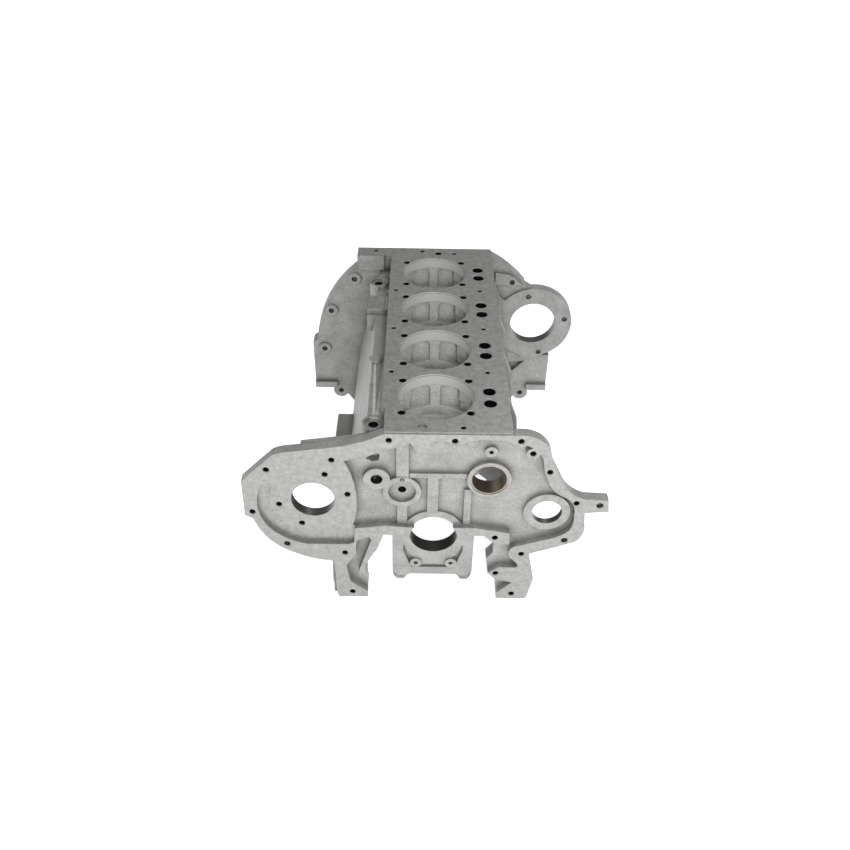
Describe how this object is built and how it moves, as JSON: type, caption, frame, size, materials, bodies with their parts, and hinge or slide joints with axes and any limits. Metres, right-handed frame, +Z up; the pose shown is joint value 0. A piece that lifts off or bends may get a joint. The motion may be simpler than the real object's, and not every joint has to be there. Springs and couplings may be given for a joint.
{
  "type": "engine block",
  "caption": "Bare crankcase of an in-line air-cooled diesel with barrel seats, timing plate, starter lobe and main bearing caps.",
  "frame": {"origin": "on the crankshaft axis, in the plane of the timing-cover face", "axes": "+X to the right for someone facing the timing end, +Y along the crankshaft to the flywheel end, +Z up to the deck"},
  "size_m": [0.568, 0.581, 0.345],
  "materials": {
    "cast_iron": "satin",
    "bolt_steel": "satin",
    "bush_bronze": "satin",
    "plug_steel": "satin"
  },
  "bodies": {
    "root": {"crankcase": "cast_iron", "main_bearing_cap_1": "cast_iron", "main_bearing_cap_2": "cast_iron", "main_bearing_cap_3": "cast_iron", "main_bearing_cap_4": "cast_iron", "main_bearing_cap_5": "cast_iron", "main_bearing_cap_bolts": "bolt_steel", "camshaft_bush_1": "bush_bronze", "camshaft_bush_2": "bush_bronze", "camshaft_bush_3": "bush_bronze", "camshaft_bush_4": "bush_bronze", "camshaft_bush_5": "bush_bronze", "camshaft_core_plug": "plug_steel"}
  },
  "joints": []
}
